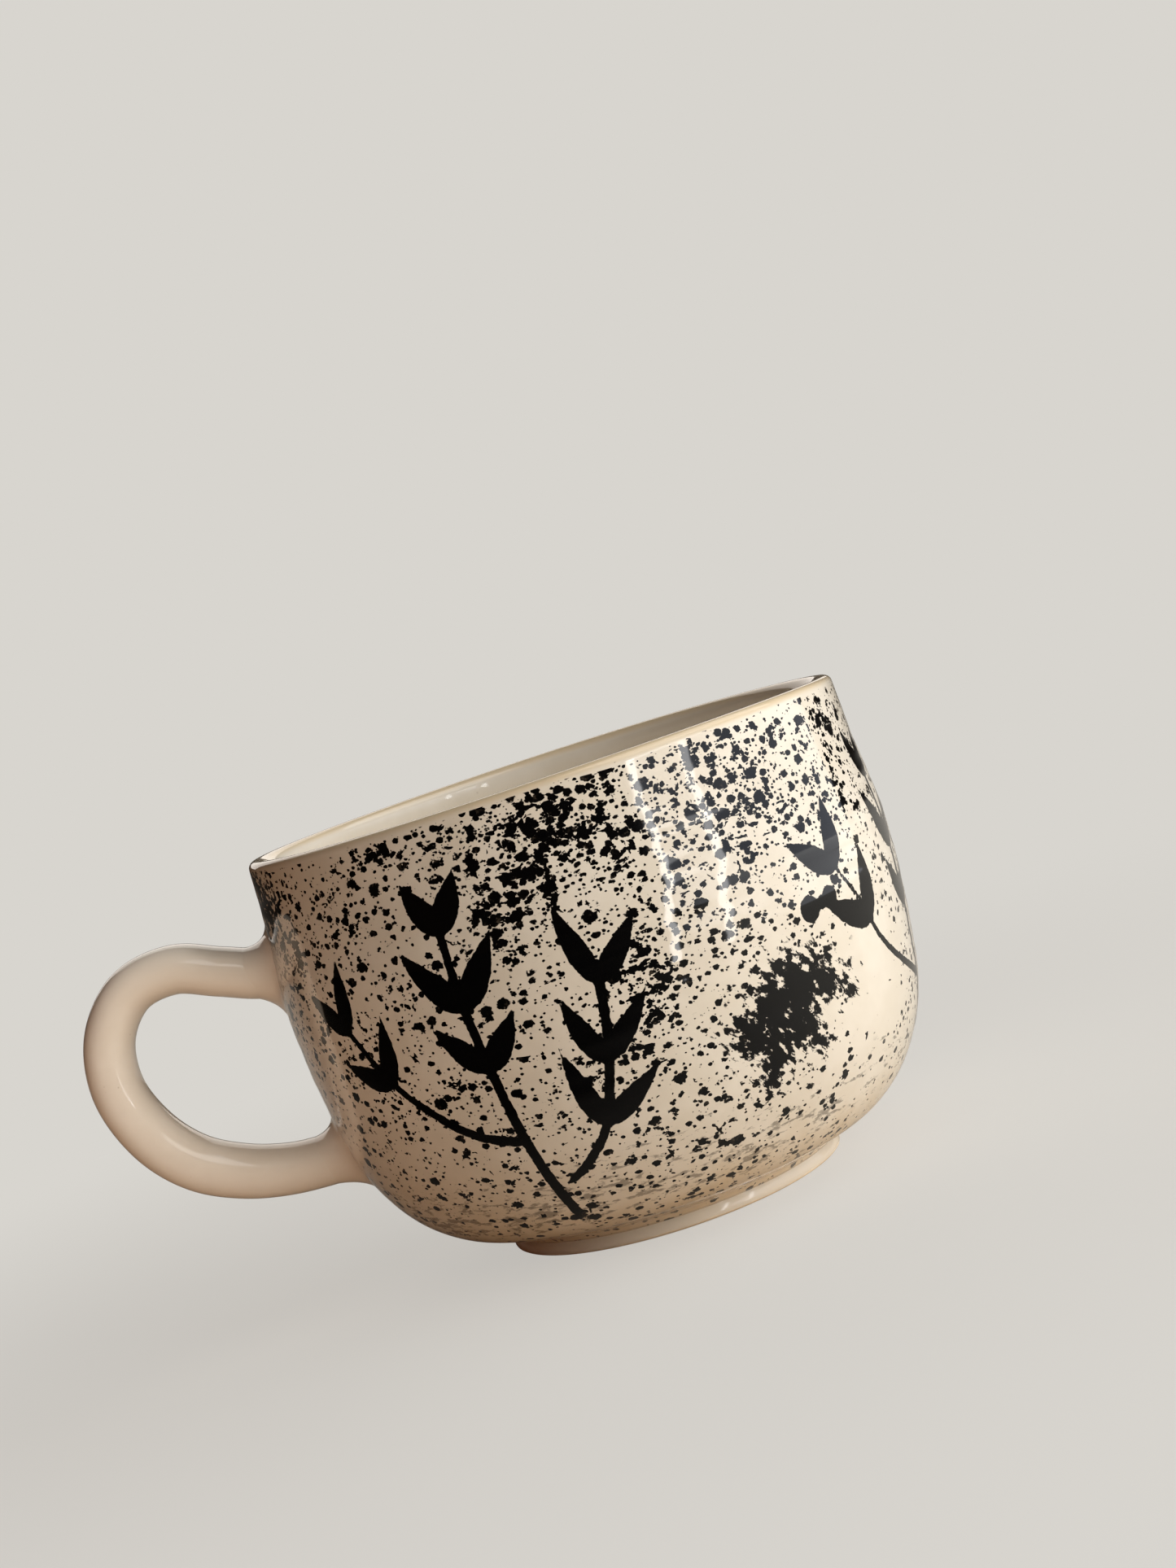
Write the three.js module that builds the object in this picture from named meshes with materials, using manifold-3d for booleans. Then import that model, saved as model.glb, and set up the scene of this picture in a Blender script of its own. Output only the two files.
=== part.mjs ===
// A hand-made stoneware mug: a thrown cup on a turned foot, with a pulled loop handle luted to its wall.
// Millimetres, +Z up. The mug stands on z = 0, centred under its own bounding box, handle towards -X.
import * as THREE from 'three';
import { mergeVertices } from 'three/addons/utils/BufferGeometryUtils.js';
import Module from 'manifold-3d';

const wasm = await Module();
wasm.setup();

// Driving dimensions.
const mugHeight = 76; // from the standing face to the top of the lip
const rimRadius = 51; // outside, just under the lip
const lipThickness = 3.4;
const footHeight = 3;
const footRadius = 29; // outside, at the standing face
const footCreaseRadius = 28.2; // outside, where the foot meets the cup
const footFaceWidth = 5.2; // of the flat standing face
const floorTop = 8; // height of the inside floor at its middle
const handleWidth = 12; // side to side
const handleThickness = 8.4; // in the plane of the loop
const clayGap = 0.3; // between neighbouring pieces
const roundSegments = 48; // facets round the cup

// Outlines, each as [distance from the mug's axis, height].
const lipRadius = lipThickness / 2;
const lipCentre = new THREE.Vector2(rimRadius - lipRadius, mugHeight - lipRadius);
const cupUnderside = footHeight + clayGap;
const cupOutside = [
  [footCreaseRadius, cupUnderside],
  [37.6, 6],
  [43.9, 11.4],
  [49.2, 21],
  [51.9, 36],
  [52.8, 52],
  [51.7, 65],
  [rimRadius, lipCentre.y],
];
const cupInside = [
  [rimRadius - lipThickness, lipCentre.y],
  [48.2, 65],
  [49.3, 52],
  [48.3, 36],
  [45.1, 22.5],
  [38.4, 13.4],
  [26, 8.8],
  [0, floorTop],
];

// The middle line of the handle, from inside the wall at its upper root to inside the wall at its lower one.
const handleLine = [
  [-46, 56.4],
  [-55, 57.4],
  [-61.5, 59.8],
  [-69, 62.6],
  [-76.8, 61.4],
  [-82.6, 55.2],
  [-84.4, 46.4],
  [-81.2, 37],
  [-75.5, 30.4],
  [-68.5, 26.6],
  [-61, 24.4],
  [-54, 23.8],
  [-45, 24],
];

// The clay worked round each root: where its middle is, and how far it spreads in x, y and z.
const upperRoot = { middle: [-51.6, 0, 57.6], spread: [6.2, 10, 9.8] };
const lowerRoot = { middle: [-48.6, 0, 24], spread: [7.4, 10.2, 9.2] };

// Stoneware under a clear glaze, and the bare rubbed clay of the foot.
const glazedClay = { color: 0xd9c8ad, roughness: 0.2, metalness: 0 };
const bareClay = { color: 0xcbb593, roughness: 0.8, metalness: 0 };

function smoothLine(outline, divisions) {
  const points = outline.map(([radius, height]) => new THREE.Vector2(radius, height));
  return new THREE.SplineCurve(points).getPoints(divisions);
}

// Turns an outline about the mug's axis and stands it along +Z.
function turned(outline) {
  const geometry = new THREE.LatheGeometry(outline, roundSegments);
  geometry.rotateX(Math.PI / 2);
  return geometry;
}

// A closed mesh with its shared corners merged, as a solid that can be cut.
function solidFrom(geometry) {
  const bare = new THREE.BufferGeometry();
  bare.setAttribute('position', geometry.getAttribute('position'));
  bare.setIndex(geometry.getIndex());
  const merged = mergeVertices(bare, 1e-4);
  const corners = merged.getIndex() ? Array.from(merged.getIndex().array) : [];
  const triVerts = [];
  for (let i = 0; i < corners.length; i += 3) {
    const [a, b, c] = corners.slice(i, i + 3);
    if (a !== b && b !== c && c !== a) {
      triVerts.push(a, b, c);
    }
  }
  return new wasm.Manifold(new wasm.Mesh({
    numProp: 3,
    vertProperties: new Float32Array(merged.getAttribute('position').array),
    triVerts: new Uint32Array(triVerts),
  }));
}

function geometryFrom(solid) {
  const { vertProperties, triVerts } = solid.getMesh();
  const geometry = new THREE.BufferGeometry();
  geometry.setAttribute('position', new THREE.BufferAttribute(vertProperties, 3));
  geometry.setIndex(new THREE.BufferAttribute(triVerts, 1));
  geometry.computeVertexNormals();
  return geometry;
}

function cupBody() {
  const lip = new THREE.Path().absarc(lipCentre.x, lipCentre.y, lipRadius, 0, Math.PI).getPoints(6);
  const outline = [
    new THREE.Vector2(0, cupUnderside),
    ...smoothLine(cupOutside, 18),
    ...lip.slice(1, -1),
    ...smoothLine(cupInside, 18),
  ];
  return turned(outline);
}

// Everything inside the cup's outer surface and the gap round it, to cut what is joined to the wall.
function cupCutter() {
  const outline = [
    new THREE.Vector2(0, cupUnderside),
    ...smoothLine(cupOutside, 18).map((point) => new THREE.Vector2(point.x + clayGap, point.y)),
    new THREE.Vector2(0, lipCentre.y),
  ];
  return solidFrom(turned(outline));
}

function footRing() {
  const innerRadius = footRadius - footFaceWidth;
  const edge = 0.5; // rounded by the turning tool
  return turned([
    new THREE.Vector2(innerRadius, 0),
    new THREE.Vector2(footRadius - edge, 0),
    new THREE.Vector2(footRadius, edge),
    new THREE.Vector2(footCreaseRadius, footHeight),
    new THREE.Vector2(innerRadius - edge, footHeight),
    new THREE.Vector2(innerRadius, 0),
  ]);
}

// The handle's oval section carried along its middle line, thicker all round by the given amount.
function handleBar(extra) {
  const section = new THREE.Shape();
  const halfWidth = handleWidth / 2 + extra;
  const halfThickness = handleThickness / 2 + extra;
  section.absellipse(0, 0, halfWidth, halfThickness, 0, 2 * Math.PI);
  const line = handleLine.map(([x, z]) => new THREE.Vector3(x, 0, z));
  const extrudePath = new THREE.CatmullRomCurve3(line, false, 'centripetal');
  const bar = new THREE.ExtrudeGeometry(section, { steps: 36, curveSegments: 8, bevelEnabled: false, extrudePath });
  return solidFrom(bar);
}

function loopHandle() {
  return geometryFrom(handleBar(0).subtract(cupCutter()));
}

// A wad of clay worked round a root of the handle, hollowed by the handle and seated on the wall.
function rootJoint({ middle, spread }) {
  const wad = new THREE.SphereGeometry(1, 24, 16);
  wad.scale(...spread);
  wad.translate(...middle);
  return geometryFrom(solidFrom(wad).subtract(cupCutter()).subtract(handleBar(clayGap)));
}

function piece(name, geometry, finish) {
  const mesh = new THREE.Mesh(geometry, new THREE.MeshStandardMaterial(finish));
  mesh.name = name;
  return mesh;
}

const mug = new THREE.Group();
mug.add(piece('cup_body', cupBody(), glazedClay));
mug.add(piece('foot_ring', footRing(), bareClay));
mug.add(piece('handle', loopHandle(), glazedClay));
mug.add(piece('upper_handle_joint', rootJoint(upperRoot), glazedClay));
mug.add(piece('lower_handle_joint', rootJoint(lowerRoot), glazedClay));

// The origin is under the middle of the whole mug, so the cup's own axis lies towards +X.
const span = new THREE.Box3().setFromObject(mug);
mug.position.x = -(span.min.x + span.max.x) / 2;

export default mug;
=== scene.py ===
# A hand-thrown stoneware mug: cream glaze, black brushed sprigs, sponged spatter and a pulled handle.
import math

import bpy
import numpy as np
from mathutils import Matrix, Vector


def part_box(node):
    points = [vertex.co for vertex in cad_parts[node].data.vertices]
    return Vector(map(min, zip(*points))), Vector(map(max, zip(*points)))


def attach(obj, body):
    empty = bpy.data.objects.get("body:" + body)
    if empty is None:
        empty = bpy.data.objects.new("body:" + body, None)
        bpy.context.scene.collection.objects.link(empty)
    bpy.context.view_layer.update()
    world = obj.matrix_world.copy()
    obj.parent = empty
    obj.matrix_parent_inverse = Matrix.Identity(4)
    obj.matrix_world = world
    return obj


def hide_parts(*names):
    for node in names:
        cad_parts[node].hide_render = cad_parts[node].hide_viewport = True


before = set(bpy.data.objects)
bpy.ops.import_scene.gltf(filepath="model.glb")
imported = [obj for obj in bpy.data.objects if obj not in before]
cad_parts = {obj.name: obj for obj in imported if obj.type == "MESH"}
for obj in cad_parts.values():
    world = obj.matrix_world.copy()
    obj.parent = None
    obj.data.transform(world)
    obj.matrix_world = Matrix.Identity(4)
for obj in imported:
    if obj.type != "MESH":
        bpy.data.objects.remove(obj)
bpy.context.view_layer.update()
print("frame loaded,", len(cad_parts), "nodes")

mm = 0.001  # everything below is in millimetres and degrees unless it says otherwise
cupLow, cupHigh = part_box("cup_body")
axisX = (cupLow.x + cupHigh.x) / 2 / mm  # the mug's own axis; the handle shifts it from the origin
footLow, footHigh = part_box("foot_ring")
footRadius = (footHigh.x - footLow.x) / 2 / mm
footTop = footHigh.z / mm
mugHeight = cupHigh.z / mm
bellyRadius = (cupHigh.x - cupLow.x) / 2 / mm


# camera: close by and a little above the lip, leaned over so that the mug looks tipped

cameraSet = {
    "distance": 409.6,
    "height": 91.8,
    "turn": 0.98,
    "tilt": -2.99,
    "lean": -18.16,
    "lens": 55.93,
    "sensor": 36.0,
    "clip": (0.01, 20.0),  # metres
}


def placeCamera():
    data = bpy.data.cameras.new("camera")
    data.lens = cameraSet["lens"]
    data.sensor_width = cameraSet["sensor"]
    data.clip_start, data.clip_end = cameraSet["clip"]
    camera = bpy.data.objects.new("camera", data)
    turn = Matrix.Rotation(math.radians(-cameraSet["turn"]), 4, "Z")
    tilt = Matrix.Rotation(math.radians(90 + cameraSet["tilt"]), 4, "X")
    lean = Matrix.Rotation(math.radians(cameraSet["lean"]), 4, "Z")
    place = Matrix.Translation(Vector((axisX, -cameraSet["distance"], cameraSet["height"])) * mm)
    camera.matrix_world = place @ turn @ tilt @ lean
    bpy.context.scene.collection.objects.link(camera)
    bpy.context.scene.camera = camera


placeCamera()


# mesh making

curveSteps = 60  # fine steps for each point of a curve, before they are made even


def smoothCurve(points, count):
    # one curve through all the points: a cubic between neighbours, its slope taken from both sides,
    # then put back at equal steps along its own length
    p = np.asarray(points, float)
    gap = np.sqrt(np.linalg.norm(np.diff(p, axis=0), axis=1))
    knot = np.concatenate([[0.0], np.cumsum(gap)])
    slope = np.gradient(p, knot, axis=0)
    s = np.linspace(0, knot[-1], curveSteps * len(p))
    i = np.clip(np.searchsorted(knot, s, side="right") - 1, 0, len(p) - 2)
    h = (knot[i + 1] - knot[i])[:, None]
    t = (s - knot[i])[:, None] / h
    fine = (1 + 2 * t) * (1 - t) ** 2 * p[i] + t * (1 - t) ** 2 * h * slope[i]
    fine += t * t * (3 - 2 * t) * p[i + 1] + t * t * (t - 1) * h * slope[i + 1]
    along = np.concatenate([[0.0], np.cumsum(np.linalg.norm(np.diff(fine, axis=0), axis=1))])
    even = np.linspace(0, along[-1], count)
    return np.stack([np.interp(even, along, fine[:, k]) for k in range(p.shape[1])], axis=1)


def makePiece(name, rings, material, node, joined=False, fields=None, uvSize=None):
    # rings is rows x columns x 3: neighbouring rows and columns make four-sided faces, the columns close
    # round on themselves, and the ends close on their own middle points unless the rows are joined too
    rows, columns = rings.shape[:2]
    points = rings.reshape(-1, 3)
    i, j = np.meshgrid(np.arange(rows if joined else rows - 1), np.arange(columns), indexing="ij")
    nextRow = (i + 1) % rows
    nextColumn = (j + 1) % columns
    a = i * columns + j
    b = i * columns + nextColumn
    c = nextRow * columns + nextColumn
    d = nextRow * columns + j
    quads = np.stack([a, b, c, d], axis=-1).reshape(-1, 4)
    corners = np.stack([np.stack([j, i], -1), np.stack([j + 1, i], -1),
                        np.stack([j + 1, i + 1], -1), np.stack([j, i + 1], -1)], axis=-2)
    corners = corners.reshape(-1, 4, 2).astype(float)
    caps = np.zeros((0, 3), int)
    capCorners = np.zeros((0, 3, 2))
    if not joined:
        k = np.arange(columns)
        first = np.stack([np.full(columns, rows * columns), (k + 1) % columns, k], -1)
        start = (rows - 1) * columns
        last = np.stack([np.full(columns, rows * columns + 1), start + k, start + (k + 1) % columns], -1)
        points = np.concatenate([points, [rings[0].mean(0)], [rings[-1].mean(0)]])
        caps = np.concatenate([first, last])
        level = np.repeat([0.0, rows - 1.0], columns)
        side = np.tile(k, 2).astype(float)
        capCorners = np.stack([np.stack([side + 0.5, level], -1), np.stack([side, level], -1),
                               np.stack([side + 1, level], -1)], axis=-2)
        capCorners[:columns, 1:] = capCorners[:columns, [2, 1]]
    halves = np.concatenate([quads[:, [0, 1, 2]], quads[:, [0, 2, 3]], caps])
    v0, v1, v2 = (points[halves[:, k]] for k in range(3))
    volume = np.einsum("ij,ij->i", v0, np.cross(v1, v2)).sum() / 6
    if volume < 0:  # the faces point inwards, so they are all turned round
        quads, corners = quads[:, ::-1], corners[:, ::-1]
        caps, capCorners = caps[:, ::-1], capCorners[:, ::-1]
    mesh = bpy.data.meshes.new(name)
    mesh.from_pydata((points * mm).tolist(), [], quads.tolist() + caps.tolist())
    mesh.shade_smooth()
    if uvSize:
        uv = np.concatenate([corners.reshape(-1, 2), capCorners.reshape(-1, 2)])
        uv = uv * (np.array(uvSize) / (columns, rows))
        mesh.uv_layers.new(name="surface").data.foreach_set("uv", uv.ravel().astype(np.float32))
    for key, values in (fields or {}).items():
        whole = values.ravel()
        if not joined:
            whole = np.concatenate([whole, [values[0].mean(), values[-1].mean()]])
        layer = mesh.attributes.new(key, "FLOAT", "POINT")
        layer.data.foreach_set("value", whole.astype(np.float32))
    mesh.materials.append(material)
    mesh.update()
    piece = bpy.data.objects.new(name, mesh)
    bpy.context.scene.collection.objects.link(piece)
    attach(piece, "root")
    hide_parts(node)
    print(f"{name}: {len(halves)} triangles, {abs(volume) / 1000:.1f} ml of clay")


# materials

smooth = {"interpolation_type": "SMOOTHSTEP"}  # a MapRange then runs smoothly from 0 to 1
ofColour = {"data_type": "RGBA", "output": 2}  # a Mix then lays the colour in 7 over the colour in 6


def linear(hexColour):
    # sRGB hex to the linear values that the shaders work in
    srgb = [int(hexColour[k:k + 2], 16) / 255 for k in (1, 3, 5)]
    return tuple(c / 12.92 if c <= 0.04045 else ((c + 0.055) / 1.055) ** 2.4 for c in srgb) + (1.0,)


def add(tree, kind, inputs=None, output=0, **settings):
    # one node: its settings, its inputs set or linked, and the output that the next node reads
    node = tree.nodes.new("ShaderNode" + kind)
    for key, value in settings.items():
        setattr(node, key, value)
    for key, value in (inputs or {}).items():
        if isinstance(value, bpy.types.NodeSocket):
            tree.links.new(value, node.inputs[key])
        else:
            node.inputs[key].default_value = value
    return node.outputs[output] if node.outputs else node


def newMaterial(name):
    material = bpy.data.materials.new(name)
    material.use_nodes = True
    material.node_tree.nodes.clear()
    return material, material.node_tree


glaze = {
    "cream": "#E3DBCD",
    "milky": "#EAE3D7",
    # the handle's creams: the body's glaze made paler as painted light, so the handle stands out of the
    # cup's shade
    "handlePaintedLightCream": "#F3EBDF",
    "handlePaintedLightMilky": "#F8F1E6",
    "tan": "#D8C29D",
    "speck": "#8A7355",
    "roughness": 0.45,
    "specular": 0.02,  # the body hardly shines, the coat of glass does
    "coatRoughness": 0.06,
    "ior": 1.5,  # a lime and feldspar glass
    "mottleSize": 11.0,
    "mottleRange": (0.35, 0.68),
    "lowBand": (23.0, 8.0),  # heights between which the tan comes in towards the foot
    "lowWander": 14.0,
    "lowTan": 0.75,
    "lipBand": 1.2,
    "lipWander": 0.8,
    "lipTan": 0.8,
    "insideShadeTan": 0.35,  # painted shade: tan that darkens the inside of the cup, where it lies in shade
    "speckSize": 1.1,
    "speckEdge": (0.24, 0.1),
    "speckShare": (0.86, 0.97),
    "speckMost": 0.45,
    "peelSize": 3.2,
    "waveSize": 14.0,
    "waveShare": 4.0,
    "peelHeight": 0.0014,
}


def glazeColour(tree, place, cream="cream", milky="milky"):
    # clear glaze over cream clay: it looks milky where it lies thick, tan where it runs thin near the foot
    # and over the lip, and tan inside the cup as painted shade, with iron specks of the clay burnt through
    # here and there
    mottle = add(tree, "TexNoise", {"Vector": place, "Scale": 1 / (glaze["mottleSize"] * mm), "Detail": 3,
                                    "Roughness": 0.6})
    thinnest, thickest = glaze["mottleRange"]
    thick = add(tree, "MapRange", {0: mottle, 1: thinnest, 2: thickest}, **smooth)
    colour = add(tree, "Mix", {0: thick, 6: linear(glaze[cream]), 7: linear(glaze[milky])}, **ofColour)
    height = add(tree, "SeparateXYZ", {0: place}, output=2)
    drift = add(tree, "Math", {0: mottle, 1: glaze["lowWander"] * mm, 2: height}, operation="MULTIPLY_ADD")
    bandTop, bandFoot = glaze["lowBand"]
    low = add(tree, "MapRange", {0: drift, 1: bandTop * mm, 2: bandFoot * mm, 4: glaze["lowTan"]}, **smooth)
    colour = add(tree, "Mix", {0: low, 6: colour, 7: linear(glaze["tan"])}, **ofColour)
    edge = add(tree, "Math", {0: mottle, 1: glaze["lipWander"] * mm, 2: height}, operation="MULTIPLY_ADD")
    lip = add(tree, "MapRange", {0: edge, 1: (mugHeight - glaze["lipBand"]) * mm, 2: mugHeight * mm,
                                 4: glaze["lipTan"]}, **smooth)
    colour = add(tree, "Mix", {0: lip, 6: colour, 7: linear(glaze["tan"])}, **ofColour)
    # painted shade: the inside of the cup is tinted tan, standing in for the shade in its hollow
    inner = add(tree, "Attribute", attribute_name="inner", output="Fac")
    thin = add(tree, "MapRange", {0: inner, 4: glaze["insideShadeTan"]})
    colour = add(tree, "Mix", {0: thin, 6: colour, 7: linear(glaze["tan"])}, **ofColour)
    cell = add(tree, "TexVoronoi", {"Vector": place, "Scale": 1 / (glaze["speckSize"] * mm)})
    faint, full = glaze["speckEdge"]
    near = add(tree, "MapRange", {0: cell, 1: faint, 2: full}, **smooth)
    rare, rarest = glaze["speckShare"]
    chosen = add(tree, "MapRange", {0: cell.node.outputs["Color"], 1: rare, 2: rarest,
                                    4: glaze["speckMost"]}, **smooth)
    speck = add(tree, "Math", {0: near, 1: chosen}, operation="MULTIPLY")
    return add(tree, "Mix", {0: speck, 6: colour, 7: linear(glaze["speck"])}, **ofColour)


def glazeSurface(tree, place, colour):
    # a stoneware body under half a millimetre of glossy glaze, with the slight orange peel of the
    # firing: a broad sheen from the body and a sharp one from the glass on top
    peel = add(tree, "TexNoise", {"Vector": place, "Scale": 1 / (glaze["peelSize"] * mm), "Detail": 2})
    wave = add(tree, "TexNoise", {"Vector": place, "Scale": 1 / (glaze["waveSize"] * mm), "Detail": 1})
    level = add(tree, "Math", {0: wave, 1: glaze["waveShare"], 2: peel}, operation="MULTIPLY_ADD")
    bump = add(tree, "Bump", {"Height": level, "Strength": 1.0, "Distance": glaze["peelHeight"] * mm})
    shader = add(tree, "BsdfPrincipled", {"Base Color": colour, "Roughness": glaze["roughness"],
                                          "IOR": glaze["ior"], "Specular IOR Level": glaze["specular"],
                                          "Coat Weight": 1.0, "Coat Roughness": glaze["coatRoughness"],
                                          "Coat IOR": glaze["ior"], "Normal": bump, "Coat Normal": bump})
    add(tree, "OutputMaterial", {"Surface": shader})


def plainGlaze():
    # the same glaze where nothing is painted: a wet, even gloss, with its cream made paler on the handle as
    # painted light that lifts it out of the cup's shade
    material, tree = newMaterial("clear_glazed_stoneware")
    place = add(tree, "TexCoord", output="Object")
    glazeSurface(tree, place, glazeColour(tree, place, "handlePaintedLightCream", "handlePaintedLightMilky"))
    return material


pigment = {
    "black": "#050506",
    "thin": "#4B4339",
    "grainSize": 1.1,
    "thinRange": (0.55, 0.85),
    "bristle": 0.55,  # how far the edge of a stroke wanders
    "bristleGap": 1.6,
    "bristlePull": (2.6, 2.6, 0.7),  # the gaps run along the height
    "gapRange": (-0.12, 0.2),
    "settle": (1.0, 1.0, 1.3),  # spatter is a little wider than high
    "blobSize": 2.5,
    "blobLevel": 0.71,
    "blobMore": -0.19,
    "blobEdge": (-0.006, 0.012),
    # drops, dots and mist: size, share of the cells that have one, and a shift of the cells in metres
    "dots": [(2.7, 0.6, 0.02), (1.6, 0.9, 0.0), (0.75, 0.6, 0.04)],
    "leastShare": 0.12,
    "shakeSize": 0.7,
    "shake": 0.45,
    "dotRadius": (0.34, 0.13),  # what chance adds, and the least, as a share of the size
    "dotSwell": 0.09,
    "dotEdge": (-0.02, 0.03),
    "dotFade": (-0.02, 0.05),
    "tearSize": (4.0, 1.7),  # along and across the drag
    "tearReach": 21.0,
    "tearAngle": -72.0,
    "streakSize": 2.2,
    "streakPull": (0.7, 0.7, 2.3),
    "streakMore": 0.2,
    "streakRange": (0.66, 0.76),
    "streakMost": 0.6,
}


def brushStrokes(tree, place, fine):
    # the brushed attribute is the distance outside a stroke in millimetres; the bristles make its edge
    # uneven, and where the load is low they leave dry lengthwise gaps
    brushed = add(tree, "Attribute", attribute_name="brushed", output="Fac")
    load = add(tree, "Attribute", attribute_name="load", output="Fac")
    centred = add(tree, "Math", {0: fine, 1: 0.5}, operation="SUBTRACT")
    edge = add(tree, "Math", {0: centred, 1: pigment["bristle"], 2: brushed}, operation="MULTIPLY_ADD")
    stroke = add(tree, "MapRange", {0: edge, 1: 0.05, 2: -0.05}, **smooth)
    drawn = add(tree, "Mapping", {"Vector": place, "Scale": pigment["bristlePull"]})
    gaps = add(tree, "TexNoise", {"Vector": drawn, "Scale": 1 / (pigment["bristleGap"] * mm), "Detail": 4,
                                  "Roughness": 0.7})
    left = add(tree, "Math", {0: load, 1: gaps}, operation="SUBTRACT")
    dry, wet = pigment["gapRange"]
    worn = add(tree, "MapRange", {0: left, 1: dry, 2: wet}, **smooth)
    return add(tree, "Math", {0: stroke, 1: worn}, operation="MULTIPLY")


def spongedBlobs(tree, flat, spatter):
    # patches of a broken noise above a level that drops where the spatter is dense
    blob = add(tree, "TexNoise", {"Vector": flat, "Scale": 1 / (pigment["blobSize"] * mm), "Detail": 3,
                                  "Roughness": 0.55, "Distortion": 0.3})
    level = add(tree, "Math", {0: spatter, 1: pigment["blobMore"], 2: pigment["blobLevel"]},
                operation="MULTIPLY_ADD")
    over = add(tree, "Math", {0: blob, 1: level}, operation="SUBTRACT")
    outer, full = pigment["blobEdge"]
    return add(tree, "MapRange", {0: over, 1: outer, 2: full}, **smooth)


def flickedDots(tree, flat, spatter, size, share, shift):
    # one ragged dot in a share of the cells of that size, in more of them where the spatter is dense
    shake = add(tree, "TexNoise", {"Vector": flat, "Scale": 1 / (pigment["shakeSize"] * mm), "Detail": 2},
                output="Color")
    centred = add(tree, "VectorMath", {0: shake, 1: (0.5, 0.5, 0.5)}, operation="SUBTRACT")
    ragged = (size * pigment["shake"] * mm,) * 3
    moved = add(tree, "VectorMath", {0: centred, 1: ragged, 2: flat}, operation="MULTIPLY_ADD")
    place = add(tree, "Mapping", {"Vector": moved, "Location": (shift,) * 3})
    cell = add(tree, "TexVoronoi", {"Vector": place, "Scale": 1 / (size * mm)})
    chance = add(tree, "SeparateColor", {0: cell.node.outputs["Color"]})
    limit = add(tree, "Math", {0: spatter, 1: share, 2: pigment["leastShare"] * share},
                operation="MULTIPLY_ADD")
    picked = add(tree, "Math", {0: chance, 1: limit}, operation="LESS_THAN")
    byChance, least = pigment["dotRadius"]
    radius = add(tree, "Math", {0: chance.node.outputs[1], 1: byChance, 2: least}, operation="MULTIPLY_ADD")
    radius = add(tree, "Math", {0: spatter, 1: pigment["dotSwell"], 2: radius}, operation="MULTIPLY_ADD")
    inside = add(tree, "Math", {0: radius, 1: cell}, operation="SUBTRACT")
    outer, full = pigment["dotEdge"]
    dot = add(tree, "MapRange", {0: inside, 1: outer, 2: full}, **smooth)
    dot = add(tree, "Math", {0: dot, 1: picked}, operation="MULTIPLY")
    never, always = pigment["dotFade"]
    allowed = add(tree, "MapRange", {0: spatter, 1: never, 2: always}, **smooth)
    return add(tree, "Math", {0: dot, 1: allowed}, operation="MULTIPLY")


def tornBlots(tree):
    # the torn attribute is the distance outside a pressed blot in millimetres; the sponge was dragged,
    # so the blot's edge breaks up into slanting strokes
    torn = add(tree, "Attribute", attribute_name="torn", output="Fac")
    surface = add(tree, "UVMap", uv_map="surface")
    slanted = add(tree, "Mapping", {"Vector": surface, "Scale": pigment["tearSize"] + (1.0,),
                                    "Rotation": (0, 0, math.radians(pigment["tearAngle"]))},
                  vector_type="TEXTURE")
    rag = add(tree, "TexNoise", {"Vector": slanted, "Scale": 1.0, "Detail": 5, "Roughness": 0.6})
    centred = add(tree, "Math", {0: rag, 1: 0.5}, operation="SUBTRACT")
    edge = add(tree, "Math", {0: centred, 1: pigment["tearReach"], 2: torn}, operation="MULTIPLY_ADD")
    return add(tree, "MapRange", {0: edge, 1: 0.5, 2: -0.5}, **smooth)


def wheelStreaks(tree, place):
    # drawn-out grey marks low on the belly, left by the turning of the wheel
    smear = add(tree, "Attribute", attribute_name="smear", output="Fac")
    level = add(tree, "Mapping", {"Vector": place, "Scale": pigment["streakPull"]})
    drag = add(tree, "TexNoise", {"Vector": level, "Scale": 1 / (pigment["streakSize"] * mm), "Detail": 4,
                                  "Roughness": 0.65})
    raised = add(tree, "Math", {0: smear, 1: pigment["streakMore"], 2: drag}, operation="MULTIPLY_ADD")
    outer, full = pigment["streakRange"]
    return add(tree, "MapRange", {0: raised, 1: outer, 2: full, 4: pigment["streakMost"]}, **smooth)


def paintedGlaze():
    # black iron and cobalt pigment brushed, sponged and flicked on the clay under the clear glaze: hard
    # ragged edges, solid black where it is thick and grey-brown where it is thin
    material, tree = newMaterial("painted_glazed_stoneware")
    place = add(tree, "TexCoord", output="Object")
    fine = add(tree, "TexNoise", {"Vector": place, "Scale": 1 / (pigment["grainSize"] * mm), "Detail": 3,
                                  "Roughness": 0.6})
    flat = add(tree, "Mapping", {"Vector": place, "Scale": pigment["settle"]})
    spatter = add(tree, "Attribute", attribute_name="spatter", output="Fac")
    solid = brushStrokes(tree, place, fine)
    for layer in (spongedBlobs(tree, flat, spatter), tornBlots(tree)):
        solid = add(tree, "Math", {0: solid, 1: layer}, operation="MAXIMUM")
    marks = solid
    for size, share, shift in pigment["dots"]:
        dots = flickedDots(tree, flat, spatter, size, share, shift)
        marks = add(tree, "Math", {0: marks, 1: dots}, operation="MAXIMUM")
    thick, thinnest = pigment["thinRange"]
    thin = add(tree, "MapRange", {0: fine, 1: thick, 2: thinnest}, **smooth)
    ink = add(tree, "Mix", {0: thin, 6: linear(pigment["black"]), 7: linear(pigment["thin"])}, **ofColour)
    ink = add(tree, "Mix", {0: solid, 6: ink, 7: linear(pigment["black"])}, **ofColour)
    streaks = wheelStreaks(tree, place)
    colour = add(tree, "Mix", {0: streaks, 6: glazeColour(tree, place), 7: linear(pigment["thin"])},
                 **ofColour)
    colour = add(tree, "Mix", {0: marks, 6: colour, 7: ink}, **ofColour)
    glazeSurface(tree, place, colour)
    return material


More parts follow.
